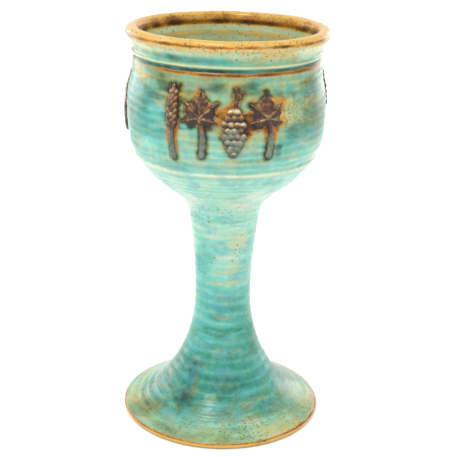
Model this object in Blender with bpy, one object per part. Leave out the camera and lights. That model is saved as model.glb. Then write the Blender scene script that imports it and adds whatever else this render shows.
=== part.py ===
"""Wheel-thrown stoneware communion chalice, modelled as a potter assembles it.

The bowl and the hollow stem are thrown separately and luted together at the leather-hard stage: a film
of slip joins the bowl's base to the stem's top, and a coil of soft clay is worked round the seam. Sprigs
of clay (wheat ears, grape clusters and vine leaves) are applied round the belly with slip.

Units are metres, +Z is up, the origin is the centre of the resting plane, and -Y is the front.
"""

import math

import bmesh
import bpy

MM = 0.001

# Driving dimensions
HEIGHT = 170.5 * MM
BELLY_RADIUS = 41.1 * MM
NECK_RADIUS = 38.7 * MM
RIM_ROLL_RADIUS = 2.6 * MM  # of the rolled lip's own section
RIM_ROLL_CENTRE = 39.0 * MM  # from the axis
WAIST_RADIUS = 12.15 * MM
FOOT_RADIUS = 43.5 * MM
FOOT_EDGE_RADIUS = 1.4 * MM
WALL = 3.7 * MM
BASE_HEIGHT = 94.0 * MM  # the underside of the bowl's base
LUTING_GAP = 0.3 * MM  # the slip film between two pieces of clay
SLIP_THICKNESS = 0.9 * MM
LOWER_LINE_HEIGHT = 118.0 * MM  # the fine ridge turned below the belly
UPPER_LINE_HEIGHT = 160.3 * MM  # the ridge over the groove turned at the neck
SPRIG_HEIGHT = 139.5 * MM  # the middle of the relief band

SEGMENTS = 48  # round each turned piece
ROLL_STEPS = 8
EDGE_STEPS = 5
MERGE_DISTANCE = 0.001 * MM
SHARP_ANGLE = math.radians(40)


def arc(centre, radius, start, end, steps):
    """Points of a circular arc in the (radius, height) plane, with its angles in degrees from outwards."""
    angles = [math.radians(start + (end - start) * step / steps) for step in range(steps + 1)]
    return [(centre[0] + radius * math.cos(a), centre[1] + radius * math.sin(a)) for a in angles]


def in_metres(points):
    return [(radius * MM, height * MM) for radius, height in points]


def turned_line(height, radius, rise):
    """A small ridge with a groove under it, as a turning tool leaves it: (radius, height) points."""
    return [
        (radius, height - 2.8 * MM),
        (radius - 0.6 * MM, height - 1.7 * MM),
        (radius + rise, height),
        (radius, height + 1.2 * MM),
    ]


def bowl_outside():
    """The bowl's outside from its base's edge to the lip: underside, fine ridge, belly, groove and neck."""
    foot = in_metres([(14.6, 95.4), (16.9, 97.9), (19.9, 100.3)])
    underside = in_metres([(25.0, 104.0), (30.1, 108.2), (34.2, 113.0)])
    low = LOWER_LINE_HEIGHT
    ridge = [(37.0 * MM, low - 1.2 * MM), (37.95 * MM, low), (38.05 * MM, low + 1.3 * MM)]
    belly = [
        (39.9 * MM, 123.5 * MM),
        (40.8 * MM, 130.0 * MM),
        (BELLY_RADIUS, 137.0 * MM),
        (40.7 * MM, 144.0 * MM),
        (39.5 * MM, 150.0 * MM),
        (NECK_RADIUS + 0.3 * MM, 154.0 * MM),
    ]
    neck = turned_line(UPPER_LINE_HEIGHT, NECK_RADIUS, 0.4 * MM)
    return [(13.5 * MM, BASE_HEIGHT), *foot, *underside, *ridge, *belly, *neck, (39.35 * MM, 164.2 * MM)]


def bowl_inside():
    """The bowl's inside from the lip down to the middle of its floor."""
    lip = in_metres([(36.2, 165.0), (35.2, 161.0), (34.9, 157.0), (35.7, 151.0)])
    inner_belly = BELLY_RADIUS - WALL
    belly = [
        (inner_belly - 0.3 * MM, 144.0 * MM),
        (inner_belly, 137.0 * MM),
        (inner_belly - 0.4 * MM, 130.0 * MM),
    ]
    turn = in_metres([(35.8, 124.0), (33.4, 118.3), (29.2, 112.8), (22.8, 107.4)])
    floor = in_metres([(15.0, 103.5), (7.0, 101.5), (0.0, 101.0)])
    return [*lip, *belly, *turn, *floor]


def bowl_outline():
    roll_centre = (RIM_ROLL_CENTRE, HEIGHT - RIM_ROLL_RADIUS)
    roll = arc(roll_centre, RIM_ROLL_RADIUS, -60, 180, ROLL_STEPS)
    return [(0.0, BASE_HEIGHT), *bowl_outside(), *roll, *bowl_inside()]


def stem_outline():
    """The stem and foot's closed half-section: outside up from the foot's edge, then down the bore."""
    edge_centre = (FOOT_RADIUS - FOOT_EDGE_RADIUS, FOOT_EDGE_RADIUS)
    edge = arc(edge_centre, FOOT_EDGE_RADIUS, -90, 60, EDGE_STEPS)
    flare = in_metres([(39.2, 4.1), (34.6, 6.4), (30.2, 9.4), (25.7, 14.0), (21.5, 20.0), (17.8, 27.0)])
    shaft = [(14.8 * MM, 35.5 * MM), (12.9 * MM, 45.0 * MM), (WAIST_RADIUS, 56.0 * MM)]
    head = in_metres([(12.55, 68.0), (13.5, 78.5), (14.4, 86.0), (14.8, 90.4), (13.6, 91.6), (13.5, 92.5)])
    bore = in_metres([(9.5, 92.5), (9.0, 80.0), (8.3, 68.0), (8.1, 57.0), (8.7, 47.0), (10.4, 37.5)])
    under_flare = in_metres([(13.6, 28.0), (17.4, 20.0), (22.0, 13.0), (27.4, 7.6), (32.5, 4.2)])
    ring = in_metres([(37.2, 2.2), (38.8, 0.0)])
    return [*edge, *flare, *shaft, *head, *bore, *under_flare, *ring]


def slip_outline():
    """The film of slip between the stem's flat top and the bowl's base."""
    inner, outer = 9.8 * MM, 13.2 * MM
    high = BASE_HEIGHT - LUTING_GAP
    low = high - SLIP_THICKNESS
    return [(inner, low), (outer, low), (outer, high), (inner, high)]


def coil_outline():
    """The clay coil round the seam: its worked outside, then the side that beds on the bowl and stem."""
    worked = in_metres([(15.1, 90.4), (15.25, 91.1), (15.75, 93.2), (16.95, 95.7), (18.5, 97.9)])
    edge = in_metres([(20.3, 99.8), (20.1, 100.1)])
    bedded = in_metres([(17.1, 97.7), (14.9, 95.2), (13.9, 93.9), (13.9, 91.85), (14.9, 90.7)])
    return [*worked, *edge, *bedded]


def clay(name, colour, roughness):
    """A glazed or bare clay surface."""
    material = bpy.data.materials.new(name)
    material.use_nodes = True
    shader = material.node_tree.nodes["Principled BSDF"]
    shader.inputs["Base Color"].default_value = (*colour, 1.0)
    shader.inputs["Roughness"].default_value = roughness
    shader.inputs["Metallic"].default_value = 0.0
    material.diffuse_color = (*colour, 1.0)
    return material


def add_object(name, bm, material):
    """Finishes a mesh and puts it in the scene under its part's name."""
    bmesh.ops.recalc_face_normals(bm, faces=bm.faces)
    mesh = bpy.data.meshes.new(name)
    bm.to_mesh(mesh)
    bm.free()
    mesh.shade_smooth()
    mesh.set_sharp_from_angle(angle=SHARP_ANGLE)
    mesh.materials.append(material)
    part = bpy.data.objects.new(name, mesh)
    bpy.context.scene.collection.objects.link(part)
    return part


def turned(name, outline, material, closed):
    """A piece turned on the wheel. An outline that isn't closed starts and ends on the axis."""
    bm = bmesh.new()
    points = [bm.verts.new((radius, 0.0, height)) for radius, height in outline]
    pairs = list(zip(points, points[1:]))
    if closed:
        pairs.append((points[-1], points[0]))
    edges = [bm.edges.new(pair) for pair in pairs]
    turn = {"cent": (0, 0, 0), "axis": (0, 0, 1), "angle": math.tau, "steps": SEGMENTS}
    bmesh.ops.spin(bm, geom=[*points, *edges], use_merge=True, **turn)
    bmesh.ops.remove_doubles(bm, verts=bm.verts, dist=MERGE_DISTANCE)
    return add_object(name, bm, material)


def wall_radius(height):
    """The bowl's outside radius at a height, on the same straight spans as its mesh."""
    outline = bowl_outside()
    for (low_radius, low), (high_radius, high) in zip(outline, outline[1:]):
        if low <= height <= high:
            return low_radius + (high_radius - low_radius) * (height - low) / (high - low)
    raise ValueError("that height is not on the bowl")


def on_wall(bearing, across, up, proud):
    """The point that far round, above and off the bowl's wall, from a bearing in the relief band."""
    height = SPRIG_HEIGHT + up
    reach = 1.0 * MM
    radius = wall_radius(height)
    slope = (wall_radius(height + reach) - wall_radius(height - reach)) / (2 * reach)
    lean = math.atan(slope)
    angle = bearing + across / radius
    out = radius + proud * math.cos(lean)
    return (out * math.sin(angle), -out * math.cos(angle), height - proud * math.sin(lean))


# A sprig's plan is its half width at each height in it, in millimetres, from the bottom to the top.
SPRIG_FOOT, SPRIG_TOP = -13.5, 13.5
STALK = 0.9  # half the width of a stalk
SPRIG_EDGE = 0.9 * MM  # thickness at a sprig's edge
SPRIG_CROWN = 1.7 * MM  # and along its middle
CROWN_WIDTH = 3.0  # the half width at which a sprig has its full crown
FACE_SECTION = ((-1.0, 0.0), (-0.9, 0.5), (-0.45, 0.85), (0.0, 1.0), (0.45, 0.85), (0.9, 0.5), (1.0, 0.0))
SECTION = (*FACE_SECTION, (0.0, 0.0))  # across a sprig: the share of its half width, then of its thickness


def wheat_ear_plan():
    """An upright ear: pairs of grains that shrink towards the tip, on a straight straw."""
    ear_foot, grain, pairs = -2.0, 2.5, 6
    plan = [(SPRIG_FOOT - 1.5, STALK), (ear_foot - 4.5, STALK), (ear_foot, STALK)]
    for pair in range(pairs):
        size = 3.2 - 0.22 * pair
        middle = ear_foot + (pair + 0.5) * grain
        plan += [(middle, size), (middle + 0.5 * grain, 0.72 * size)]
    return [*plan, (SPRIG_TOP, 0.5)]


def grapes_plan():
    """A hanging cluster: rows of one to three berries above its tip, under a stalk."""
    berry, row_step = 1.45, 2.55
    plan = [(SPRIG_FOOT, 0.5)]
    for row, berries in enumerate((1, 1.6, 2, 2.5, 3, 2.7, 2.2)):
        middle = SPRIG_FOOT + berry + row * row_step
        plan += [(middle, berries * berry), (middle + 0.5 * row_step, berries * berry - 0.3)]
    return [*plan, (7.2, STALK), (SPRIG_TOP, STALK)]


def leaf_plan():
    """An upright vine leaf: a stalk, two shoulder lobes, two side lobes and the lobe at its tip."""
    shoulders = [(-4.2, STALK), (-3.8, 3.9), (-2.6, 5.9), (-0.8, 6.5), (0.9, 5.6)]
    sides = [(2.6, 6.6), (4.6, 7.2), (6.2, 6.2), (7.4, 3.8)]
    tip = [(9.4, 3.5), (11.6, 2.2), (SPRIG_TOP, 0.5)]
    return [(SPRIG_FOOT, STALK), (-9.0, STALK), *shoulders, *sides, *tip]


PLANS = {"wheat_ear": wheat_ear_plan(), "grapes": grapes_plan(), "leaf": leaf_plan()}


def sprig(name, motif, bearing, material):
    """A pad of clay in the motif's plan, bent to the bowl's wall and standing a slip film off it."""
    bm = bmesh.new()
    loops = []
    for up, half_width in PLANS[motif]:
        crown = SPRIG_EDGE + (SPRIG_CROWN - SPRIG_EDGE) * min(1.0, half_width / CROWN_WIDTH)
        half = half_width * MM
        row = [on_wall(bearing, side * half, up * MM, LUTING_GAP + rise * crown) for side, rise in SECTION]
        loops.append([bm.verts.new(point) for point in row])
    for lower, upper in zip(loops, loops[1:]):
        for index in range(len(SECTION)):
            following = (index + 1) % len(SECTION)
            bm.faces.new((lower[index], lower[following], upper[following], upper[index]))
    for end in (loops[0], loops[-1]):
        bm.faces.new(end)
    return add_object(name, bm, material)


# The three groups of sprigs round the belly, each piece with its bearing from the front, in degrees.
SPRIGS = {
    "front_wheat_ear": ("wheat_ear", -30.0),
    "front_leaf_left": ("leaf", -14.5),
    "front_grapes": ("grapes", 4.0),
    "front_leaf_right": ("leaf", 22.5),
    "right_wheat_ear": ("wheat_ear", 101.0),
    "right_grapes": ("grapes", 116.0),
    "right_leaf": ("leaf", 134.5),
    "left_wheat_ear": ("wheat_ear", -147.0),
    "left_leaf_rear": ("leaf", -131.5),
    "left_grapes": ("grapes", -113.0),
    "left_leaf_front": ("leaf", -94.5),
}


def main():
    for old in list(bpy.data.objects):
        bpy.data.objects.remove(old)
    glaze = clay("turquoise_glaze", (0.27, 0.62, 0.55), 0.25)
    relief = clay("iron_brown_glaze", (0.28, 0.13, 0.05), 0.3)
    stoneware = clay("bare_stoneware", (0.62, 0.42, 0.25), 0.8)
    turned("bowl", bowl_outline(), glaze, closed=False)
    turned("stem", stem_outline(), glaze, closed=True)
    turned("joint_slip", slip_outline(), stoneware, closed=True)
    turned("joint_coil", coil_outline(), glaze, closed=True)
    for name, (motif, bearing) in SPRIGS.items():
        sprig(name, motif, math.radians(bearing), relief)


main()
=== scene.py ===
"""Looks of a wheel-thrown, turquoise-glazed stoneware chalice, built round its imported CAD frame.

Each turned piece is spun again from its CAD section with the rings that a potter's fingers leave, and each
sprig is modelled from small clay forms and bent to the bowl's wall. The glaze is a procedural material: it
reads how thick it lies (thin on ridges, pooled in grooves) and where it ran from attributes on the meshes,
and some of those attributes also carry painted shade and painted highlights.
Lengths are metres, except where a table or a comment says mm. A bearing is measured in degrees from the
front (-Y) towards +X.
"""

import math

import bmesh
import bpy
import numpy as np
from mathutils import Matrix, Vector
from mathutils.kdtree import KDTree


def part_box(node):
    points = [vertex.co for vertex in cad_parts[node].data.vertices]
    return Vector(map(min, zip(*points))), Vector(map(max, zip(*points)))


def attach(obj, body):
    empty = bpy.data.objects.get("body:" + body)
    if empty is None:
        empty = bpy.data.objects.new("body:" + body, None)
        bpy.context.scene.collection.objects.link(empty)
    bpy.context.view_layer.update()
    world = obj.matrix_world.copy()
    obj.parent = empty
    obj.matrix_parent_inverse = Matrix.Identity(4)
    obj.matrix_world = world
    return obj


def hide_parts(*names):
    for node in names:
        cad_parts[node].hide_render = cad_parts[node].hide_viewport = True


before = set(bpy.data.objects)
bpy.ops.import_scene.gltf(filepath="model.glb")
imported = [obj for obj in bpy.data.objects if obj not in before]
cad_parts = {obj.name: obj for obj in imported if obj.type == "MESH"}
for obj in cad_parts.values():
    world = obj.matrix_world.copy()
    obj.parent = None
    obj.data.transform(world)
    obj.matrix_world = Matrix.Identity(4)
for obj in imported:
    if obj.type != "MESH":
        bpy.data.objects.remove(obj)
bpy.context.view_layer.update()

MM = 0.001
BODY = "root"
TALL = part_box("bowl")[1].z
FOOT_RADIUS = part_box("stem")[1].x
BELLY_LINE = 118.0 * MM  # the fine ridge below the belly
NECK_LINE = 160.3 * MM  # the ridge at the neck, over a groove
NECK_EDGE = 157.3 * MM  # where the belly breaks to that groove
SPRIG_MIDDLE = 139.5 * MM

# ---------------------------------------------------------------- smooth noise and painted patches


def ripple(points, size, seed, flat=1.0):
    """Smooth noise of about -1 to 1 with blobs of this size, and flat times as wide as they are high."""
    rng = np.random.default_rng(seed)
    stretched = points * np.array([1 / flat, 1 / flat, 1.0])
    total = np.zeros(len(points))
    waves = 12
    for _ in range(waves):
        direction = rng.normal(size=3)
        direction *= math.tau / size * rng.uniform(0.6, 1.5) / np.linalg.norm(direction)
        total += np.sin(stretched @ direction + rng.uniform(0, math.tau))
    return total / math.sqrt(waves)


def smoothstep(value, low, high):
    share = np.clip((value - low) / (high - low), 0, 1)
    return share * share * (3 - 2 * share)


def turn_apart(bearing, centre):
    """The angle in degrees between each bearing and a centre, from 0 to 180."""
    return np.abs((bearing - centre + 180) % 360 - 180)


def painted(points, bearing, patches, ragged=0.35, seed=5):
    """How strongly brushed patches, ragged like run glaze, cover each point.

    A patch is (bearing and half width in degrees, height and half height in mm, strength).
    """
    height_mm = points[:, 2] / MM
    edge = ripple(points, 9 * MM, seed, flat=2.0) + 0.6 * ripple(points, 3.5 * MM, seed + 1, flat=2.5)
    cover = np.zeros(len(points))
    for centre, half_width, middle, half_height, strength in patches:
        away = np.hypot(turn_apart(bearing, centre) / half_width, (height_mm - middle) / half_height)
        cover += strength * smoothstep(away + ragged * edge, 1.25, 0.45)
    return cover


# ---------------------------------------------------------------- turned pieces


def cad_section(node):
    """The ordered (radius, height) points of a turned CAD node's section in the half plane through +X."""
    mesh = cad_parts[node].data
    keys = {}
    for vertex in mesh.vertices:
        x, y, z = vertex.co
        if abs(y) < 1e-6 and x > -1e-7:
            keys[vertex.index] = (round(x, 6), round(z, 6))
    beside = {key: set() for key in keys.values()}
    for edge in mesh.edges:
        a, b = (keys.get(index) for index in edge.vertices)
        if a and b and a != b:
            beside[a].add(b)
            beside[b].add(a)
    ends = sorted((key for key, near in beside.items() if len(near) == 1), key=lambda key: key[1])
    start = ends[0] if ends else min(beside, key=lambda key: (key[1], -key[0]))
    path = [start]
    following = max(beside[start])
    while following and following != start:
        path.append(following)
        onward = beside[following] - {path[-2]}
        following = onward.pop() if onward else None
    return path, not ends


def smooth_outline(points, closed, step_at):
    """A centripetal Catmull-Rom curve through the points. step_at gives the sample spacing at a point."""
    points = [np.array(p) for p in points]
    count = len(points)
    spans = count if closed else count - 1
    samples = []
    for i in range(spans):
        p1, p2 = points[i], points[(i + 1) % count]
        p0 = points[i - 1] if closed or i > 0 else 2 * p1 - p2
        p3 = points[(i + 2) % count] if closed or i + 2 < count else 2 * p2 - p1
        k0, k1, k2 = (max(np.linalg.norm(b - a), 1e-7) ** 0.5 for a, b in ((p0, p1), (p1, p2), (p2, p3)))
        t1, t2, t3 = k0, k0 + k1, k0 + k1 + k2
        steps = max(1, round(float(np.linalg.norm(p2 - p1)) / step_at((p1 + p2) / 2)))
        for t in t1 + k1 * np.arange(steps) / steps:
            a1 = (t1 - t) / t1 * p0 + t / t1 * p1
            a2 = (t2 - t) / k1 * p1 + (t - t1) / k1 * p2
            a3 = (t3 - t) / k2 * p2 + (t - t2) / k2 * p3
            b1 = (t2 - t) / t2 * a1 + t / t2 * a2
            b2 = (t3 - t) / (k1 + k2) * a2 + (t - t1) / (k1 + k2) * a3
            samples.append((t2 - t) / k1 * b1 + (t - t1) / k1 * b2)
    if not closed:
        samples.append(points[-1])
    return np.array(samples)


class Turned:
    """A grid of points spun from an outline: rows along the outline, columns round the axis."""

    def __init__(self, outline, closed, around):
        self.closed, self.around = closed, around
        self.outline = outline
        self.rows = len(outline)
        ahead, behind = np.roll(outline, -1, 0), np.roll(outline, 1, 0)
        if not closed:
            ahead[-1], behind[0] = outline[-1], outline[0]
        along = ahead - behind
        along /= np.maximum(np.linalg.norm(along, axis=1, keepdims=True), 1e-9)
        out = np.stack([along[:, 1], -along[:, 0]], axis=1)
        steps = np.linalg.norm(np.diff(outline, axis=0), axis=1)
        travelled = np.concatenate([[0], np.cumsum(steps)])
        angle = math.tau * np.arange(around) / around
        self.angle = np.tile(angle, self.rows)
        self.bearing = (np.degrees(self.angle) + 180) % 360 - 180
        self.radius, self.height = (np.repeat(outline[:, k], around) for k in (0, 1))
        self.out_radius, self.out_height = (np.repeat(out[:, k], around) for k in (0, 1))
        self.travelled = np.repeat(travelled, around)
        self.points = self.placed(np.zeros(self.rows * around))

    def placed(self, proud):
        """The points, each moved this far out along the surface's normal."""
        radius = np.maximum(self.radius + proud * self.out_radius, 0)
        height = self.height + proud * self.out_height
        return np.stack([radius * np.sin(self.angle), -radius * np.cos(self.angle), height], axis=1)

    def faces(self):
        """Quads between neighbouring rows and columns, facing out."""
        rows = self.rows if self.closed else self.rows - 1
        row_start = np.arange(rows)[:, None] * self.around
        column = np.arange(self.around)
        low = (row_start + column).ravel()
        low_next = (row_start + (column + 1) % self.around).ravel()
        total = self.rows * self.around
        high, high_next = (low + self.around) % total, (low_next + self.around) % total
        return np.stack([low, low_next, high_next, high], axis=1)

    def piece(self, name, points, material, slot, values):
        """The grid as an object. The end rows of an open outline lie on the axis, so each is one point."""
        total = self.rows * self.around
        index, kept = np.arange(total), np.arange(total)
        if not self.closed:
            inner = total - 2 * self.around
            first, last = np.zeros(self.around), np.full(self.around, 1 + inner)
            index = np.concatenate([first, 1 + np.arange(inner), last])
            kept = np.concatenate([[0], self.around + np.arange(inner), [total - 1]])
        faces = [tuple(dict.fromkeys(face)) for face in index.astype(int)[self.faces()].tolist()]
        values = {key: value[kept] for key, value in values.items()}
        return new_piece(name, points[kept], faces, material, values)


def finger_rings(turned, pitch, depth, seed):
    """Ridges left by a potter's fingers: round valleys and sharp crests that climb a pitch in each turn."""
    drift = 0.3 * ripple(turned.points, 40 * MM, seed, flat=3.0)
    phase = turned.travelled / pitch + turned.angle / math.tau + drift
    crest = (1 - np.abs(np.sin(math.pi * phase))) ** 1.2 - 0.3
    strength = 0.75 + 0.45 * ripple(turned.points, 30 * MM, seed + 1, flat=2.0)
    return depth * crest * np.clip(strength, 0.15, 1.4)


def bump_at(value, centre, half_width):
    return np.exp(-(((value - centre) / half_width) ** 2))


def store(mesh, values):
    """Stores each named value on the mesh's points, where a material reads it."""
    for key, value in values.items():
        stored = mesh.attributes.new(key, "FLOAT", "POINT")
        stored.data.foreach_set("value", value.astype(np.float32))


def new_piece(name, points, faces, material, values):
    """A smooth-shaded object that rides on the chalice, with the named values stored on its points."""
    mesh = bpy.data.meshes.new(name)
    mesh.from_pydata(np.asarray(points).tolist(), [], faces)
    store(mesh, values)
    mesh.shade_smooth()
    mesh.materials.append(material)
    piece = bpy.data.objects.new(name, mesh)
    bpy.context.scene.collection.objects.link(piece)
    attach(piece, BODY)
    return piece


# ---------------------------------------------------------------- materials


def srgb(red, green, blue):
    """A linear colour from 0 to 255 display values."""
    shares = [value / 255 for value in (red, green, blue)]
    return (*[s / 12.92 if s <= 0.04045 else ((s + 0.055) / 1.055) ** 2.4 for s in shares], 1.0)


SPECK_CORE = 0.45  # the share of a speck's radius that is full-strength


class Nodes:
    """Builds one material's node tree. A socket can be fed a number, a colour or another node's output."""

    def __init__(self, name):
        self.material = bpy.data.materials.new(name)
        self.material.use_nodes = True
        self.tree = self.material.node_tree
        self.shader = self.tree.nodes["Principled BSDF"]
        self.place = self.tree.nodes.new("ShaderNodeTexCoord").outputs["Object"]

    def feed(self, socket, value):
        if isinstance(value, bpy.types.NodeSocket):
            self.tree.links.new(value, socket)
        else:
            socket.default_value = value

    def add(self, kind, inputs, output=0, **settings):
        node = self.tree.nodes.new("ShaderNode" + kind)
        for key, value in settings.items():
            setattr(node, key, value)
        for key, value in inputs.items():
            self.feed(node.inputs[key], value)
        return node.outputs[output]

    def value(self, name):
        """A value stored on the mesh's points."""
        return self.add("Attribute", {}, output="Fac", attribute_name=name)

    def math(self, operation, *numbers, clamp=False):
        return self.add("Math", dict(enumerate(numbers)), operation=operation, use_clamp=clamp)

    def total(self, *terms):
        """The sum of (value, weight) terms and plain numbers."""
        result = None
        for term in terms:
            if isinstance(term, tuple):
                term = self.math("MULTIPLY", *term)
            result = term if result is None else self.math("ADD", result, term)
        return result

    def fade(self, value, low, high):
        """0 where the value is low, 1 where it is high, and smooth between."""
        inputs = {"Value": value, "From Min": low, "From Max": high}
        return self.add("MapRange", inputs, interpolation_type="SMOOTHSTEP")

    def mix(self, share, first, second):
        inputs = {"Factor": share, 6: first, 7: second}
        return self.add("Mix", inputs, output=2, data_type="RGBA")

    def ramp(self, value, *stops):
        """A colour ramp through (position, colour) stops."""
        output = self.add("ValToRGB", {"Fac": value})
        ramp = output.node.color_ramp
        while len(ramp.elements) < len(stops):
            ramp.elements.new(0.5)
        for element, (position, colour) in zip(ramp.elements, stops):
            element.position, element.color = position, colour
        return output

    def mapped(self, scale, location):
        """The place on the object, scaled and then moved."""
        return self.add("Mapping", {"Vector": self.place, "Scale": scale, "Location": location})

    def noise(self, size, flat=1.0, detail=3.0, rough=0.55, shift=0.0, output="Fac"):
        """Noise with blobs of this size in metres, flat times as wide as they are high."""
        wide = 1 / (size * flat)
        where = self.mapped((wide, wide, 1 / size), (shift, 2 * shift, 3 * shift))
        inputs = {"Vector": where, "Scale": 1.0, "Detail": detail, "Roughness": rough}
        return self.add("TexNoise", inputs, output=output)

    def specks(self, spacing, density, small, large, shift=0.0):
        """Round specks on a scattered grid. The density is the share of its cells that hold one."""
        where = self.mapped((1 / spacing,) * 3, (shift,) * 3)
        warp = self.add("TexNoise", {"Vector": where, "Scale": 2.5, "Detail": 1.0}, output="Color")
        bent = self.add("VectorMath", {0: warp, "Scale": 0.45}, operation="SCALE")
        where = self.add("VectorMath", {0: where, 1: bent}, operation="ADD")
        cell = self.tree.nodes.new("ShaderNodeTexVoronoi")
        self.feed(cell.inputs["Vector"], where)
        cell.inputs["Scale"].default_value = 1.0
        chance = self.add("SeparateColor", {"Color": cell.outputs["Color"]}, output=0)
        size = self.add("SeparateColor", {"Color": cell.outputs["Color"]}, output=1)
        radius = self.add("MapRange", {"Value": size, "To Min": small, "To Max": large})
        core = self.math("MULTIPLY", radius, SPECK_CORE)
        edge = {"Value": cell.outputs["Distance"], "From Min": radius, "From Max": core}
        inside = self.add("MapRange", edge)
        return self.math("MULTIPLY", inside, self.math("LESS_THAN", chance, density))

    def bump(self, height, distance, strength=1.0, below=None):
        inputs = {"Height": height, "Distance": distance, "Strength": strength}
        if below is not None:
            inputs["Normal"] = below
        return self.add("Bump", inputs)


# The turquoise glaze from thin to pooled, and what it breaks to where it runs off.
GLAZE_RAMP = (
    (0.0, srgb(216, 216, 190)),
    (0.16, srgb(164, 214, 194)),
    (0.33, srgb(126, 196, 180)),
    (0.5, srgb(88, 172, 158)),
    (0.68, srgb(50, 138, 120)),
    (0.85, srgb(16, 92, 78)),
    (1.0, srgb(5, 40, 34)),
)
SKY = srgb(84, 160, 172)
BLUSH_RAMP = ((0.1, srgb(216, 212, 186)), (0.45, srgb(172, 170, 146)), (0.8, srgb(104, 118, 92)))
OLIVE_RAMP = (
    (0.1, srgb(206, 212, 166)),
    (0.45, srgb(162, 172, 116)),
    (0.75, srgb(98, 108, 50)),
    (1.0, srgb(48, 34, 10)),
)
TAN = srgb(208, 164, 76)
ORANGE = srgb(184, 118, 34)
GOLD = srgb(134, 90, 16)
BROWN = srgb(76, 40, 4)
UMBER = srgb(30, 12, 4)
RUST_SPECK = srgb(106, 82, 28)
IRON_SPECK = srgb(24, 20, 16)

# The sprigs' iron-brown glaze from its hollows to its crests, and the turquoise film over it. The
# near-black first stop in the hollows at the wall is pooled glaze deepened as painted shade, and the pale
# cream last stop is a painted highlight on faces turned up.
RELIEF_RAMP = (
    (0.0, srgb(14, 8, 6)),
    (0.28, UMBER),
    (0.44, srgb(66, 34, 12)),
    (0.58, srgb(104, 66, 26)),
    (0.76, srgb(150, 116, 66)),
    (1.0, srgb(214, 204, 168)),
)
FILM_RAMP = ((0.35, srgb(76, 116, 104)), (0.65, srgb(134, 146, 126)))
RELIEF_SPECK = srgb(26, 18, 12)

BARE_CLAY = srgb(196, 148, 98)
CLAY_RAMP = ((0.25, srgb(150, 98, 56)), (0.5, BARE_CLAY), (0.8, srgb(222, 184, 138)))
FOOT_RING_RAMP = ((0.3, srgb(158, 106, 62)), (0.7, BARE_CLAY))
CLAY_SPECK = srgb(52, 34, 22)

PEEL_DEPTH = 0.05 * MM  # of the glaze's faint orange-peel
PIT_DEPTH = 0.12 * MM  # of a pinhole at a speck
GRIT_DEPTH = 0.12 * MM  # of bare clay's grain


def glaze_finish(nodes, colour, roughness, coat, gloss_noise, pits):
    """The glassy skin that every glaze shares: slightly uneven gloss, orange-peel and pinholes."""
    shader = nodes.shader
    nodes.feed(shader.inputs["Base Color"], colour)
    low, high = roughness
    rough = nodes.add("MapRange", {"Value": gloss_noise, "To Min": low, "To Max": high})
    nodes.feed(shader.inputs["Roughness"], rough)
    shader.inputs["Coat Weight"].default_value = coat
    shader.inputs["IOR"].default_value = 1.5
    shader.inputs["Specular IOR Level"].default_value = 0.3
    shader.inputs["Coat Roughness"].default_value = 0.08
    shader.inputs["Sheen Weight"].default_value = 0.1
    shader.inputs["Sheen Roughness"].default_value = 0.3
    peel = nodes.noise(1.1 * MM, flat=1.6, detail=2.0, shift=7.0)
    skin = nodes.bump(peel, PEEL_DEPTH, 0.6)
    pitted = nodes.bump(nodes.math("MULTIPLY", pits, -1.0), PIT_DEPTH, 0.7, skin)
    nodes.feed(shader.inputs["Normal"], pitted)
    return nodes.material


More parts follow.
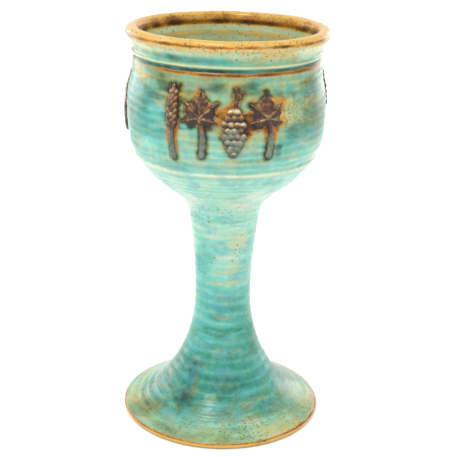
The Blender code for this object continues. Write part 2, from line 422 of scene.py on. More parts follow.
def turquoise_glaze():
    """Runny turquoise glaze over speckled clay.

    The meshes store depth (0 where it is thin to 1 where it pooled; on the bowl and foot it also holds
    painted shade on their left and right sides and against the sprigs), warm (how far it breaks to olive
    and tan), iron (how rusty it is; on the bowl it is kept off the lip's top edge as a painted highlight),
    specks (how speckled) and bare (1 where the clay has no glaze).
    """
    nodes = Nodes("turquoise_glaze")
    depth, warm, iron, specks, bare = map(nodes.value, ("depth", "warm", "iron", "specks", "bare"))
    broad = nodes.noise(11 * MM, flat=1.8, detail=3.0, shift=1.0)
    streaks = nodes.noise(2.2 * MM, flat=5.0, detail=4.0, rough=0.6, shift=2.0)
    fine = nodes.noise(1.2 * MM, flat=1.6, detail=3.0, rough=0.65, shift=3.0)
    runs = nodes.noise(15 * MM, flat=0.16, detail=3.0, rough=0.6, shift=4.0)
    tone = nodes.total((broad, 0.42), (streaks, 0.27), (fine, 0.22), (runs, 0.2), depth, -0.54)
    colour = nodes.ramp(tone, *GLAZE_RAMP)
    hue = nodes.noise(4.5 * MM, flat=1.8, detail=3.0, shift=11.0)
    colour = nodes.mix(nodes.math("MULTIPLY", nodes.fade(hue, 0.48, 0.64), 0.42), colour, SKY)
    blush = nodes.total((nodes.noise(4.5 * MM, flat=2.4, detail=3.0, shift=12.0), 1.0), (warm, 0.12))
    blush_share = nodes.math("MULTIPLY", nodes.fade(blush, 0.54, 0.76), 0.6)
    colour = nodes.mix(blush_share, colour, nodes.ramp(tone, *BLUSH_RAMP))
    ash = nodes.noise(4 * MM, flat=2.2, detail=4.0, rough=0.65, shift=13.0)
    breaking = nodes.total((ash, 1.3), (warm, 1.0), -0.65)
    olive_share = nodes.math("MULTIPLY", nodes.fade(breaking, -0.05, 0.8), 0.85)
    colour = nodes.mix(olive_share, colour, nodes.ramp(tone, *OLIVE_RAMP))
    colour = nodes.mix(nodes.fade(breaking, 0.7, 1.35), colour, TAN)
    clouds = nodes.noise(2.6 * MM, flat=2.5, detail=2.0, shift=17.0)
    grain = nodes.noise(0.8 * MM, flat=1.5, detail=3.0, rough=0.7, shift=19.0)
    rust = nodes.total((clouds, 0.45), (grain, 0.5), iron, -0.67)
    colour = nodes.mix(nodes.fade(rust, 0.03, 0.36), colour, ORANGE)
    colour = nodes.mix(nodes.fade(rust, 0.24, 0.48), colour, GOLD)
    colour = nodes.mix(nodes.fade(rust, 0.42, 0.68), colour, BROWN)
    colour = nodes.mix(nodes.fade(rust, 0.64, 0.95), colour, UMBER)
    rust_dots = nodes.specks(0.95 * MM, nodes.total((specks, 0.9), 0.01), 0.28, 0.6, shift=3.7)
    colour = nodes.mix(nodes.math("MULTIPLY", rust_dots, 0.8), colour, RUST_SPECK)
    dots = nodes.specks(1.3 * MM, nodes.total((specks, 0.45), 0.02), 0.10, 0.28)
    colour = nodes.mix(nodes.math("MULTIPLY", dots, 0.85), colour, IRON_SPECK)
    colour = nodes.mix(bare, colour, nodes.ramp(fine, *FOOT_RING_RAMP))
    gloss_noise = nodes.total(broad, (bare, 2.5))
    return glaze_finish(nodes, colour, (0.16, 0.34), 0.12, gloss_noise, dots)


def relief_glaze():
    """Iron-brown glaze on the sprigs, under a turquoise film.

    The meshes store crest (0 at the wall, 1 on top), under (1 facing down) and low (1 at the lower end).
    The material darkens faces turned down as painted shade and lightens faces turned up as a painted
    highlight.
    """
    nodes = Nodes("iron_brown_glaze")
    crest, under, low = map(nodes.value, ("crest", "under", "low"))
    broad = nodes.noise(3.0 * MM, detail=3.0, shift=21.0)
    fine = nodes.noise(0.8 * MM, detail=3.0, rough=0.65, shift=23.0)
    # painted shade and highlight: under darkens faces turned down and lightens faces turned up; crest
    # lightens what stands off the wall, where glaze breaks thin
    tone = nodes.total((broad, 0.9), (fine, 0.5), (crest, 0.34), (under, -0.52), (low, 0.04), -0.54)
    colour = nodes.ramp(tone, *RELIEF_RAMP)
    clouds = nodes.noise(3.2 * MM, detail=3.0, shift=27.0)
    # painted shade: less of the pale film on faces turned down
    film = nodes.total((clouds, 2.2), (crest, 0.3), (low, 0.75), (under, -0.4), -1.6)
    film_share = nodes.math("MULTIPLY", nodes.fade(film, 0.0, 0.7), 0.7)
    hue = nodes.noise(2.4 * MM, detail=3.0, shift=29.0)
    colour = nodes.mix(film_share, colour, nodes.ramp(hue, *FILM_RAMP))
    dots = nodes.specks(0.9 * MM, 0.25, 0.10, 0.30, shift=5.1)
    colour = nodes.mix(nodes.math("MULTIPLY", dots, 0.7), colour, RELIEF_SPECK)
    return glaze_finish(nodes, colour, (0.15, 0.32), 0.45, broad, dots)


def bare_stoneware():
    """Unglazed clay toasted by the kiln, with iron specks and fine throwing grit."""
    nodes = Nodes("bare_stoneware")
    broad = nodes.noise(9 * MM, flat=2.0, detail=4.0, shift=31.0)
    grit = nodes.noise(0.5 * MM, detail=3.0, rough=0.7, shift=33.0)
    tone = nodes.total((broad, 0.9), (grit, 0.35), -0.1)
    colour = nodes.ramp(tone, *CLAY_RAMP)
    dots = nodes.specks(1.0 * MM, 0.3, 0.10, 0.26, shift=8.3)
    colour = nodes.mix(nodes.math("MULTIPLY", dots, 0.8), colour, CLAY_SPECK)
    rough = nodes.add("MapRange", {"Value": grit, "To Min": 0.7, "To Max": 0.95})
    nodes.feed(nodes.shader.inputs["Base Color"], colour)
    nodes.feed(nodes.shader.inputs["Roughness"], rough)
    nodes.feed(nodes.shader.inputs["Normal"], nodes.bump(grit, GRIT_DEPTH, 0.8))
    return nodes.material


# ---------------------------------------------------------------- the bowl

BOWL_AROUND = 320
STEM_AROUND = 256
BASE_LOW = 94 * MM  # the flat under the bowl, on the stem
BASE_RADIUS = 13 * MM  # inside this the stem hides the bowl's underside
CUP_FLOOR = 101 * MM
CUP_RADIUS = 37.9 * MM  # just past the inner wall and just inside the outer one, at the belly
CUP_FLARE = 163 * MM  # where the inner wall opens to the lip


def bowl_step(middle):
    """The bowl's sample spacing: fine outside and on the lip, coarse inside and under the base."""
    radius, height = middle
    if height < BASE_LOW + 0.5 * MM or radius < BASE_RADIUS - 1 * MM:
        return 2.2 * MM
    inside = CUP_FLOOR < height < CUP_FLARE and radius < CUP_RADIUS
    if inside and not under_wall(radius, height):
        return 1.5 * MM
    from_line = min(abs(height - BELLY_LINE), abs(height - NECK_LINE + 1.5 * MM))
    return 0.28 * MM if from_line < 2.2 * MM else 0.5 * MM


def under_wall(radius, height):
    """Whether a point of the bowl's section is on its underside and not on its inner floor."""
    slope = 0.86
    highest = BASE_LOW + 2.2 * MM + slope * (radius - BASE_RADIUS - 1 * MM)
    return radius > BASE_RADIUS and height < highest


# How deep the glaze lies at heights in mm, and how far it turns to olive and tan there.
BOWL_DEPTH = (
    (94, 0.12),
    (104, 0.1),
    (112, 0.2),
    (117, 0.27),
    (121, 0.36),
    (130, 0.42),
    (150, 0.5),
    (157, 0.54),
    (160, 0.5),
    (162.5, 0.46),
    (165, 0.26),
    (170, 0.1),
)
BOWL_WARM = (
    (94, 0.0),
    (112, 0.05),
    (117, 0.16),
    (122, 0.12),
    (145, 0.15),
    (152, 0.38),
    (157, 0.45),
    (162, 0.3),
    (165, 0.7),
    (167, 1.1),
    (170, 1.3),
)

# Brushed patches, as painted() reads them: where the bowl's glaze pooled or lies thin (below 0), with two
# broad patches of painted shade on the belly's left and right sides, where it breaks to olive and tan,
# where iron bleeds through, and where it is speckled.
BOWL_POOLS_AND_SIDE_SHADE = [
    (-45, 14, 163.2, 1.4, 0.2),
    (-22, 14, 162.8, 1.3, 0.2),
    (-4, 9, 162.8, 1.2, 0.12),
    (-40, 7, 152.5, 3.0, 0.15),
    (-6, 7, 152.5, 3.0, 0.26),
    (13, 6, 152.5, 3.0, 0.26),
    # painted shade: these two darken the glaze on the belly's left and right sides
    (-62, 26, 139, 16, 0.19),
    (64, 26, 139, 16, 0.2),
    (39, 4, 133, 5, 0.15),
    (30, 3, 129, 3, 0.3),
    (-18, 28, 121.5, 2.0, 0.08),
    (105, 26, 140, 12, 0.14),
    (170, 24, 146, 9, 0.2),
    (-150, 22, 128, 7, 0.14),
    (150, 16, 163, 1.8, 0.2),
    (72, 16, 125, 6, -0.12),
    (-50, 12, 127, 4, -0.1),
    (6, 60, 122.5, 1.5, -0.06),
    (-56, 14, 164, 3, -0.2),
    (56, 18, 163.5, 3.5, -0.25),
    (-30, 14, 146, 8, 0.06),
]
BOWL_BREAKS = [
    (50, 20, 144, 12, 0.26),
    (62, 12, 135, 10, 0.2),
    (35, 24, 163.5, 2.2, 0.2),
    (-60, 12, 154, 2.2, 0.5),
    (-60, 8, 127, 3, 0.3),
    (12, 12, 124, 1.8, 0.35),
    (40, 9, 125, 2, 0.4),
    (-150, 26, 150, 6, 0.45),
    (140, 20, 128, 6, 0.45),
    (-50, 14, 138, 8, -0.3),
    (2, 38, 142, 13, 0.36),
    (-22, 18, 162.8, 1.5, -0.4),
    (20, 16, 163, 2.5, 0.15),
]
BOWL_IRON = [
    (-14, 5, 146, 4, 0.3),
    (4, 6, 144, 5, 0.5),
    (13, 5, 141, 6, 0.62),
    (25, 6, 137, 6, 0.45),
    (30, 4, 147, 4, 0.25),
    (-30, 4, 137, 10, 0.3),
    (-20, 5, 151, 3, 0.25),
    (0, 40, 154.8, 1.4, 0.2),
    (48, 16, 143, 9, 0.06),
    (0, 180, 168.8, 2.2, 0.2),
]
BOWL_SPECKS = [
    (50, 20, 144, 9, 1.0),
    (5, 30, 164.5, 2, 0.5),
    (-150, 30, 150, 8, 0.6),
    (0, 180, 168, 3.0, 0.5),
]

HALO_REACH = 4.5 * MM
HALO_BAND = (121 * MM, 157 * MM)  # the heights where halos lie
MARK_EVERY = 6  # how many of a sprig's points are one mark to measure from


def halo_of(points, sprigs):
    """How near each point of the bowl is to a sprig: 1 against it, 0 from HALO_REACH away."""
    vertices = [vertex for sprig in sprigs for vertex in sprig.data.vertices]
    marks = [vertex.co for vertex in vertices if vertex.index % MARK_EVERY == 0]
    tree = KDTree(len(marks))
    for index, mark in enumerate(marks):
        tree.insert(mark, index)
    tree.balance()
    near = np.zeros(len(points))
    low, high = HALO_BAND
    outside = np.hypot(points[:, 0], points[:, 1]) > CUP_RADIUS + 0.1 * MM
    band = outside & (points[:, 2] > low) & (points[:, 2] < high)
    for index in np.nonzero(band)[0]:
        near[index] = tree.find(points[index])[2]
    return np.where(band, smoothstep(near, HALO_REACH, 0.0), 0.0)


def at_height(height, table):
    """The value of a (height in mm, value) table at each height."""
    heights, values = zip(*table)
    return np.interp(height / MM, heights, values)


RING_DEPTH = 0.3 * MM  # the relief over which glaze goes from thin to pooled
RIDGE_PROUD = 0.25 * MM  # how far a turned ridge stands off the wall
CLAY_PROUD = 0.35 * MM  # how far the clay is drawn up against a sprig


def bowl_rings(grid, outer, inner):
    """The finger rings below the belly, faint ones on it, and wide ones inside the cup."""
    height = grid.height
    below_belly = outer * smoothstep(height, BELLY_LINE + 1 * MM, BELLY_LINE - 1 * MM)
    belly = outer * (1 - below_belly) * smoothstep(height, NECK_EDGE + 1 * MM, NECK_EDGE - 1 * MM)
    cup = inner * smoothstep(height, TALL - 4 * MM, TALL - 10 * MM)
    rings = finger_rings(grid, 2.5 * MM, 0.2 * MM, 3) * below_belly
    rings += finger_rings(grid, 3.1 * MM, 0.10 * MM, 8) * belly
    return rings + finger_rings(grid, 4.5 * MM, 0.22 * MM, 12) * cup


def build_bowl(glaze, sprigs):
    section, closed = cad_section("bowl")
    grid = Turned(smooth_outline(section, closed, bowl_step), closed, BOWL_AROUND)
    points, height, bearing = grid.points, grid.height, grid.bearing
    outer = ((grid.out_radius > -0.05) & (grid.radius > BASE_RADIUS)).astype(float)
    inner = 1 - outer
    rings = bowl_rings(grid, outer, inner)
    belly_ridge = outer * bump_at(height, BELLY_LINE, 0.32 * MM)
    neck_ridge = outer * bump_at(height, NECK_LINE, 0.45 * MM)
    ridges = belly_ridge + neck_ridge
    sway = 0.14 * MM * ripple(points, 60 * MM, 21) + 0.05 * MM * ripple(points, 9 * MM, 22, flat=2.0)
    halo = halo_of(points, sprigs) * outer
    proud = rings + RIDGE_PROUD * ridges + sway + CLAY_PROUD * halo**6

    # Bands that the glaze's values are made of, each from 0 to 1.
    groove = outer * bump_at(height, NECK_LINE - 1.6 * MM, 0.8 * MM)
    edge_line = outer * bump_at(height, NECK_EDGE + 0.1 * MM, 0.9 * MM)
    ridge_shade = outer * bump_at(height, BELLY_LINE - 1.1 * MM, 0.4 * MM)
    lip_line = outer * bump_at(height, TALL - 2.3 * MM, 0.8 * MM)
    lip_in = inner * smoothstep(height, TALL - 6.2 * MM, TALL - 4.6 * MM)
    stripes = inner * bump_at(height, TALL - 4.1 * MM, 1.1 * MM)
    low_stripe = inner * bump_at(height, TALL - 8.7 * MM, 0.9 * MM)
    # painted highlight: the lip's top edge is kept clear of iron so that it reads pale
    painted_lip_highlight = smoothstep(height, TALL - 1.3 * MM, TALL - 0.2 * MM)
    blots = ripple(points, 6 * MM, 31, flat=2.0)
    front = 0.55 + 0.45 * smoothstep(turn_apart(bearing, 5), 75, 30)
    cup_floor = smoothstep(height, CUP_FLOOR + 21 * MM, CUP_FLOOR + 7 * MM)
    iron_patches = outer * painted(points, bearing, BOWL_IRON, seed=19)
    values = {
        "depth": outer * at_height(height, BOWL_DEPTH)
        + inner * (0.3 + 0.22 * cup_floor)
        + outer * painted(points, bearing, BOWL_POOLS_AND_SIDE_SHADE)
        + 0.4 * groove
        + 0.26 * low_stripe
        - 0.34 * ridges
        # pooled glaze in the crease against each sprig, darkened further as painted shade
        + 0.7 * halo**7
        - 0.3 * rings / RING_DEPTH,
        "warm": outer * at_height(height, BOWL_WARM)
        + outer * painted(points, bearing, BOWL_BREAKS, seed=9)
        + inner * (0.72 - 0.35 * cup_floor)
        + 0.75 * lip_in
        + 0.45 * low_stripe
        + 0.34 * halo
        + 0.1 * halo**9
        + 0.2 * edge_line
        - 0.3 * groove
        + 0.3 * ridge_shade
        - 0.12 * belly_ridge
        + 0.48 * neck_ridge,
        "iron": 0.76 * edge_line * front * (1 + 0.2 * blots)
        + (0.52 + 0.1 * blots) * lip_line
        + (0.42 + 0.1 * blots) * lip_in
        + (0.42 + 0.1 * blots) * stripes
        + iron_patches * (0.5 + 0.9 * halo)
        + 0.12 * halo * (0.6 + ripple(points, 6 * MM, 41))
        + 0.24 * ridge_shade
        - 0.3 * painted_lip_highlight,
        "specks": outer * painted(points, bearing, BOWL_SPECKS, seed=17)
        + 0.5 * lip_in
        + 0.15 * inner,
    }
    piece = grid.piece("thrown_bowl", grid.placed(proud), glaze, "turquoise_glaze", values)
    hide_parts("bowl")
    return piece


# ---------------------------------------------------------------- the stem, foot and joint

STEM_DEPTH = (
    (0, 0.44),
    (5, 0.47),
    (9, 0.62),
    (16, 0.7),
    (26, 0.66),
    (36, 0.57),
    (46, 0.47),
    (60, 0.37),
    (75, 0.27),
    (84, 0.23),
    (94, 0.12),
)
STEM_WARM = ((0, 0.6), (4, 0.55), (9, 0.28), (16, 0.1), (30, 0.05), (60, 0.05), (94, 0.08))
STEM_POOLS_AND_SIDE_SHADE = [
    (-48, 26, 84, 7, 0.12),
    (-42, 20, 71, 8, 0.16),
    (15, 50, 55.5, 1.4, 0.12),
    (12, 50, 50.5, 1.6, 0.16),
    (-10, 14, 47, 2.4, 0.12),
    (-5, 45, 40.5, 1.4, 0.2),
    (-20, 22, 33.5, 2.2, 0.12),
    (-37, 5, 21, 8, 0.22),
    (-36, 8, 13, 4, 0.22),
    (8, 22, 20, 5, 0.06),
    (-8, 22, 3.2, 1.2, 0.14),
    (-38, 10, 3.2, 1.2, 0.14),
    (-66, 8, 3.6, 1.5, 0.16),
    (140, 40, 60, 14, 0.12),
    (180, 30, 20, 8, 0.12),
    (110, 14, 12, 6, 0.12),
    (-130, 18, 14, 7, 0.12),
    (-9, 6, 14.2, 1.8, -0.2),
    (-50, 8, 19, 4, -0.12),
    (10, 40, 6.4, 0.8, -0.15),
    # painted shade: these two darken the glaze on the foot's left and right sides
    (-80, 26, 8, 6, 0.12),
    (84, 26, 9, 6, 0.08),
    (0, 50, 10, 4, 0.04),
    (6, 60, 43.5, 1.2, -0.12),
    (24, 24, 78, 12, -0.12),
]
STEM_BREAKS = [
    (24, 22, 82, 9, 0.5),
    (28, 24, 71, 4, 0.42),
    (8, 50, 67.5, 0.9, 0.45),
    (8, 40, 62.5, 0.9, 0.5),
    (12, 20, 53.0, 1.0, 0.45),
    (-29, 3, 17, 5, 0.4),
    (-68, 12, 5.5, 2.2, 0.3),
    (84, 24, 2.6, 2.6, 0.35),
    (60, 24, 2.4, 1.5, 0.25),
    (38, 14, 3.6, 1.5, 0.3),
    (-9, 6, 14.2, 1.8, 0.35),
    (170, 24, 4, 2.5, 0.5),
    (-150, 24, 75, 10, 0.6),
    (-45, 24, 60, 30, -0.25),
]
STEM_IRON = [
    (82, 26, 3.0, 3.2, 0.24),
    (40, 16, 3.6, 1.8, 0.16),
    (-84, 18, 3.0, 2.4, 0.16),
    (168, 26, 3.5, 3.0, 0.22),
    (-130, 20, 2.6, 2.0, 0.18),
    (24, 10, 83, 8, 0.1),
]
STEM_SPECKS = [
    (18, 8, 31, 2.0, 1.3),
    (24, 14, 80, 10, 0.45),
    (16, 14, 14, 5, 0.8),
    (24, 16, 6, 3, 0.9),
    (-32, 4, 18, 7, 0.8),
    (0, 70, 6, 4, 0.35),
    (60, 26, 4, 3, 0.5),
    (150, 40, 10, 8, 0.5),
    (12, 3, 52, 1.0, 1.5),
]


FOOT_EDGE = 40 * MM  # the radius from which the foot turns down to its ring
BORE_RADIUS = 11.6 * MM  # just past the bore's wall above the foot
STEM_TOP = 91 * MM  # where the coil covers the stem


def stem_step(middle):
    """The stem's sample spacing: fine outside and at the foot's edge, coarse up the bore."""
    radius, height = middle
    on_shaft = radius > BORE_RADIUS and height > 30 * MM
    on_foot = radius > 16 * MM and height > 0.62 * (FOOT_EDGE - radius)
    return 0.45 * MM if on_shaft or on_foot or radius > FOOT_EDGE else 1.6 * MM


def build_stem(glaze):
    section, closed = cad_section("stem")
    outline = smooth_outline(section, closed, stem_step)
    outline[:, 1] = np.maximum(outline[:, 1], 0)
    grid = Turned(outline, closed, STEM_AROUND)
    points, height, bearing = grid.points, grid.height, grid.bearing
    facing_out = (grid.out_radius > 0.02) & (height < STEM_TOP) & (height > 0.2 * MM)
    facing_up = (grid.out_height > 0.3) & (height < 30 * MM)
    outer = (facing_out | facing_up).astype(float)
    fade = smoothstep(height, 0.8 * MM, 3.0 * MM) * smoothstep(height, STEM_TOP, STEM_TOP - 3 * MM)
    rings = finger_rings(grid, 4.4 * MM, 0.2 * MM, 51) + finger_rings(grid, 1.55 * MM, 0.05 * MM, 57)
    rings *= outer * fade
    sway = 0.08 * MM * ripple(points, 50 * MM, 61) + 0.03 * MM * ripple(points, 7 * MM, 62, flat=2.0)
    proud = rings + (sway - 0.1 * MM) * fade
    rim = smoothstep(grid.radius, FOOT_RADIUS - 3 * MM, FOOT_RADIUS - 1 * MM)
    edge = rim * smoothstep(height, 2.5 * MM, 1.6 * MM)
    edge_line = rim * bump_at(height, 2.2 * MM, 0.45 * MM)
    hidden = 1 - outer
    ring_face = hidden * smoothstep(height, 1.6 * MM, 0.9 * MM)
    values = {
        "depth": at_height(height, STEM_DEPTH)
        + outer * 0.65 * painted(points, bearing, STEM_POOLS_AND_SIDE_SHADE, seed=25)
        - 0.14 * rings / RING_DEPTH,
        "warm": at_height(height, STEM_WARM)
        + outer * painted(points, bearing, STEM_BREAKS, seed=29)
        + 0.75 * edge
        + 0.5 * hidden,
        "iron": outer * painted(points, bearing, STEM_IRON, seed=33)
        + 0.58 * edge_line
        + edge * (0.14 + 0.1 * ripple(points, 7 * MM, 71, flat=2.0)),
        "specks": outer * painted(points, bearing, STEM_SPECKS, seed=37),
        "bare": ring_face * (1 - edge * smoothstep(height, 0.0, 0.6 * MM)),
    }
    piece = grid.piece("thrown_stem", grid.placed(proud), glaze, "turquoise_glaze", values)
    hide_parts("stem")
    return piece


# The coil's section in mm. Its outside is smeared down onto the stem and up onto the bowl, and ends just
# under both their surfaces, and its inside lies between the two.
COIL_OUTSIDE = [
    (14.2, 86.0),
    (14.6, 88.2),
    (14.95, 91.0),
    (15.6, 93.6),
    (16.7, 96.0),
    (18.4, 98.5),
    (20.1, 100.1),
    (21.9, 101.9),
]
COIL_INSIDE = [(20.4, 101.6), (16.6, 98.4), (14.4, 95.4), (13.6, 91.5)]
COIL_DEPTH = ((87, 0.2), (91, 0.26), (94, 0.16), (100, 0.1))
COIL_STEP = 0.35 * MM


def build_coil(glaze):
    section = [(radius * MM, height * MM) for radius, height in COIL_OUTSIDE + COIL_INSIDE]
    grid = Turned(smooth_outline(section, True, lambda middle: COIL_STEP), True, STEM_AROUND)
    points, height, bearing = grid.points, grid.height, grid.bearing
    outer = smoothstep(grid.out_radius, 0.0, 0.2) * smoothstep(height, 87 * MM, 90 * MM)
    rings = outer * finger_rings(grid, 2.6 * MM, 0.12 * MM, 81)
    values = {
        "depth": at_height(height, COIL_DEPTH) - 0.3 * rings / RING_DEPTH,
        "warm": 0.05 + outer * painted(points, bearing, STEM_BREAKS, seed=29),
        "iron": np.zeros(len(points)),
        "specks": 0.1 * outer,
    }
    piece = grid.piece("luting_coil", grid.placed(rings), glaze, "turquoise_glaze", values)
    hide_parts("joint_coil")
    return piece


# ---------------------------------------------------------------- the sprigs

CLAY_VOXEL = 0.24  # mm, the grain at which a sprig's forms are pressed into one
ROLL_STEP = 0.35  # mm between the pebbles that make a roll
SPRIG_BED = 0.5  # mm that a sprig's back is set into the slip behind it
SPRIG_THICK = 1.6 * MM  # off the wall, where a sprig's crest counts as full


class Clay:
    """Small clay forms in a flat plan in mm (across, up, off the wall), pressed together into one body."""

    def __init__(self):
        self.bm = bmesh.new()

    def pebble(self, across, up, off, length, width, thick, lean=0.0):
        """An ellipsoid whose length leans this many degrees from upright towards +across."""
        turn = Matrix.Rotation(math.radians(-lean), 4, "Z")
        size = Matrix.Diagonal((width, length, thick, 1.0))
        place = Matrix.Translation((across, up, off)) @ turn @ size
        bmesh.ops.create_icosphere(self.bm, subdivisions=3, radius=1.0, matrix=place)

    def roll(self, path, radius_at):
        """A rolled coil along a path of (across, up, off) points, with rounded ends."""
        path = [Vector(p) for p in path]
        length = sum((b - a).length for a, b in zip(path, path[1:]))
        travelled = 0.0
        for a, b in zip(path, path[1:]):
            steps = max(1, round((b - a).length / ROLL_STEP))
            for step in range(steps):
                spot = a.lerp(b, step / steps)
                radius = radius_at((travelled + (b - a).length * step / steps) / length)
                self.pebble(*spot, radius, radius, radius)
            travelled += (b - a).length

    def pressed(self):
        """The forms joined by a voxel remesh and smoothed: (points in mm, faces)."""
        mesh = bpy.data.meshes.new("pressing")
        self.bm.to_mesh(mesh)
        self.bm.free()
        body = bpy.data.objects.new("pressing", mesh)
        bpy.context.scene.collection.objects.link(body)
        remesh = body.modifiers.new("press", "REMESH")
        remesh.mode, remesh.voxel_size = "VOXEL", CLAY_VOXEL
        soften = body.modifiers.new("soften", "SMOOTH")
        soften.factor, soften.iterations = 0.5, 3
        done = body.evaluated_get(bpy.context.evaluated_depsgraph_get()).to_mesh()
        points = np.array([vertex.co for vertex in done.vertices])
        faces = [tuple(face.vertices) for face in done.polygons]
        bpy.data.objects.remove(body)
        return points, faces


def bent_path(start, end, bow, steps=8):
    """Points on a shallow arc from start to end, bowed sideways by this much."""
    start, end = Vector(start), Vector(end)
    side = Vector((end.y - start.y, start.x - end.x, 0)).normalized()
    shares = [step / steps for step in range(steps + 1)]
    return [start.lerp(end, share) + side * bow * math.sin(math.pi * share) for share in shares]


def wheat_ear():
    """Six pairs of grains and one at the tip, with short beards, on a straw."""
    clay = Clay()
    clay.roll(bent_path((0.5, -14.8, 0.5), (0, 11, 0.5), -0.5), lambda t: 1.2 - 0.5 * t)
    for pair in range(6):
        up = -1.6 + 2.35 * pair
        size = 1.0 - 0.045 * pair
        for side in (-1, 1):
            clay.pebble(side * 1.35 * size, up, 0.75, 1.85 * size, 0.95 * size, 0.85, lean=side * 24)
            beard = [(side * 1.9 * size, up + 1.2, 0.7), (side * 2.7 * size, up + 3.4, 0.5)]
            clay.roll(beard, lambda t: 0.34 - 0.14 * t)
        clay.pebble(0, up + 1.1, 0.95, 1.6 * size, 0.8 * size, 0.8)
    clay.pebble(0, 12.0, 0.7, 1.7, 0.85, 0.8)
    return clay.pressed()


def grapes():
    """A cluster of round berries that narrows to its tip, a curling tendril and a stalk."""
    clay = Clay()
    berry, row_step, spacing = 1.5, 2.35, 2.45
    for row, berries in enumerate((1, 2, 3, 4, 3, 4, 3, 2)):
        for index in range(berries):
            across = (index - (berries - 1) / 2) * spacing
            up = -12.0 + row * row_step + 0.25 * math.cos(3 * across + row)
            lift = 0.75 + 0.35 * math.cos(across / 3.2)
            clay.pebble(across * 0.92, up, lift, berry, berry, berry * 0.92)
    clay.pebble(0, -2.5, 0.2, 9.5, 3.0, 1.0)
    clay.roll(bent_path((0, 5.0, 0.6), (0.6, 13.2, 0.6), 0.7), lambda t: 0.85)
    curl = [
        (0.4 + 2.6 * t + 0.9 * math.cos(9 * t), 9.0 + 2.2 * t + 0.9 * math.sin(9 * t), 0.5)
        for t in (step / 14 for step in range(15))
    ]
    clay.roll(curl, lambda t: 0.5 - 0.15 * t)
    return clay.pressed()


# Each lobe's lean in degrees from upright, its reach and its half width in mm.
LEAF_LOBES = ((0, 8.8, 3.0), (48, 7.4, 2.8), (-48, 7.4, 2.8), (104, 5.9, 2.5), (-104, 5.9, 2.5))


def vine_leaf():
    """Five pointed lobes with a raised vein in each, over a curved stalk."""
    clay = Clay()
    base, off = Vector((0, 1.6, 0)), Vector((0, 0, 1))
    for lean, reach, width in LEAF_LOBES:
        along = Vector((math.sin(math.radians(lean)), math.cos(math.radians(lean)), 0))
        middle = base + along * reach * 0.46
        clay.pebble(middle.x, middle.y, 0.25, reach * 0.52, width, 0.95, lean=lean)
        for side in (-1, 1):
            tooth = base + along * reach * 0.62 + Vector((along.y, -along.x, 0)) * side * width * 0.62
            clay.pebble(tooth.x, tooth.y, 0.2, 1.7, 0.85, 0.7, lean=lean + side * 32)
        tip = base + along * (reach + 1.6)
        point = [base + along * reach * 0.7 + off * 0.3, tip + off * 0.1]
        clay.roll(point, lambda t: 0.9 - 0.6 * t)
        vein = [base + off * 1.05, base + along * reach * 0.5 + off * 1.1, tip + off * 0.35]
        clay.roll(vein, lambda t: 0.5 - 0.2 * t)
    clay.roll(bent_path((0.9, -13.0, 0.5), (0, 2.0, 0.7), 0.9), lambda t: 1.3 - 0.3 * t)
    return clay.pressed()


def bent_to_wall(points, node, wall):
    """The plan's points in metres, bent to the wall at the CAD node's bearing, and how far off the wall."""
    low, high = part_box(node)
    middle = (low + high) / 2
    bearing = math.atan2(middle.x, -middle.y)
    off = np.maximum(points[:, 2], -SPRIG_BED) * MM
    height = SPRIG_MIDDLE + points[:, 1] * MM
    radius = np.interp(height, wall[:, 1], wall[:, 0]) + off
    angle = bearing + points[:, 0] * MM / np.interp(height, wall[:, 1], wall[:, 0])
    return np.stack([radius * np.sin(angle), -radius * np.cos(angle), height], axis=1), off


def build_sprigs(material):
    section, closed = cad_section("bowl")
    outline = smooth_outline(section, closed, bowl_step)
    radius, height = outline.T
    outside = (height > 115 * MM) & (height < 158 * MM) & (radius > CUP_RADIUS - 0.1 * MM)
    wall = outline[outside]
    wall = wall[np.argsort(wall[:, 1])]
    motifs = {"wheat_ear": wheat_ear(), "grapes": grapes(), "leaf": vine_leaf()}
    pieces = []
    for node in sorted(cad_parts):
        motif = next((key for key in motifs if key in node), None)
        if motif is None:
            continue
        plan, faces = motifs[motif]
        points, off = bent_to_wall(plan, node, wall)
        points += 0.06 * MM * ripple(points, 2.5 * MM, 91)[:, None]
        piece = new_piece(f"sprig_{node}", points, faces, material, {})
        normals = np.zeros(len(points) * 3)
        piece.data.vertex_normals.foreach_get("vector", normals)
        values = {
            "crest": np.clip(off / SPRIG_THICK, 0, 1.2),
            # the material darkens faces turned down by this, as painted shade, and lightens faces turned up
            # as a painted highlight
            "under": -normals.reshape(-1, 3)[:, 2],
            "low": smoothstep(plan[:, 1], 2.0, -8.0),
        }
        store(piece.data, values)
        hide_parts(node)
        pieces.append(piece)
    return pieces


# ---------------------------------------------------------------- camera, floor and light

CAMERA_BACK = 438.6 * MM
CAMERA_HEIGHT = 238.2 * MM
CAMERA_PITCH = 19.48  # degrees below level
CAMERA_YAW = 0.249  # degrees towards +X
CAMERA_ROLL = 1.325
CAMERA_LENS = 84.9  # mm on this sensor
SENSOR_WIDTH = 36.0  # mm


def add_camera():
    data = bpy.data.cameras.new("camera")
    data.lens, data.sensor_width = CAMERA_LENS, SENSOR_WIDTH
    data.clip_start = 0.01
    camera = bpy.data.objects.new("camera", data)
    bpy.context.scene.collection.objects.link(camera)
    yaw = Matrix.Rotation(math.radians(-CAMERA_YAW), 4, "Z")
    pitch = Matrix.Rotation(math.radians(90 - CAMERA_PITCH), 4, "X")
    roll = Matrix.Rotation(math.radians(CAMERA_ROLL), 4, "Z")
    camera.matrix_world = Matrix.Translation((0, -CAMERA_BACK, CAMERA_HEIGHT)) @ yaw @ pitch @ roll
    bpy.context.scene.camera = camera


PAPER_RAMP = ((0.3, (0.93, 0.93, 0.93, 1)), (0.7, (0.95, 0.95, 0.95, 1)))


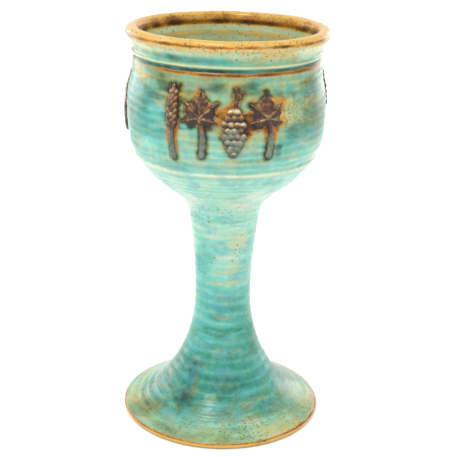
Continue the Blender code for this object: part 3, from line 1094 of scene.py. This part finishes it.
def add_floor():
    """A wide, plain, matt white floor."""
    mesh = bpy.data.meshes.new("floor")
    reach = 6.0
    corners = [(-reach, -reach, 0), (reach, -reach, 0), (reach, reach, 0), (-reach, reach, 0)]
    mesh.from_pydata(corners, [], [(0, 1, 2, 3)])
    floor = bpy.data.objects.new("floor", mesh)
    floor.location.z = -0.05 * MM
    bpy.context.scene.collection.objects.link(floor)
    nodes = Nodes("floor_paper")
    paper = nodes.noise(40 * MM, detail=2.0)
    nodes.feed(nodes.shader.inputs["Base Color"], nodes.ramp(paper, *PAPER_RAMP))
    nodes.shader.inputs["Roughness"].default_value = 0.9
    nodes.shader.inputs["Specular IOR Level"].default_value = 0.0
    mesh.materials.append(nodes.material)


def add_softbox(name, place, target, size, power):
    data = bpy.data.lights.new(name, "AREA")
    data.shape, data.size, data.energy = "SQUARE", size, power
    light = bpy.data.objects.new(name, data)
    bpy.context.scene.collection.objects.link(light)
    light.visible_camera = False
    light.location = place
    light.rotation_euler = (Vector(target) - Vector(place)).to_track_quat("-Z", "Y").to_euler()


def add_light():
    world = bpy.data.worlds.new("studio")
    world.use_nodes = True
    world.node_tree.nodes["Background"].inputs["Color"].default_value = (1.0, 1.0, 1.0, 1.0)
    world.node_tree.nodes["Background"].inputs["Strength"].default_value = 1.1
    bpy.context.scene.world = world
    middle = (0, 0, TALL / 2)
    add_softbox("key_softbox", (-0.25, -0.4, 1.0), middle, 0.35, 3.5)
    add_softbox("left_rim_softbox", (-0.75, 0.6, 0.1), middle, 0.6, 2.8)
    add_softbox("right_rim_softbox", (0.6, 0.75, 0.1), middle, 0.6, 2.0)
    bpy.context.scene.view_settings.view_transform = "Standard"


def main():
    glaze = turquoise_glaze()
    relief = relief_glaze()
    clay = bare_stoneware()
    sprigs = build_sprigs(relief)
    build_bowl(glaze, sprigs)
    build_stem(glaze)
    build_coil(glaze)
    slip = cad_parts["joint_slip"]
    for slot in slip.material_slots:
        slot.material = clay
    add_floor()
    add_light()
    add_camera()


main()
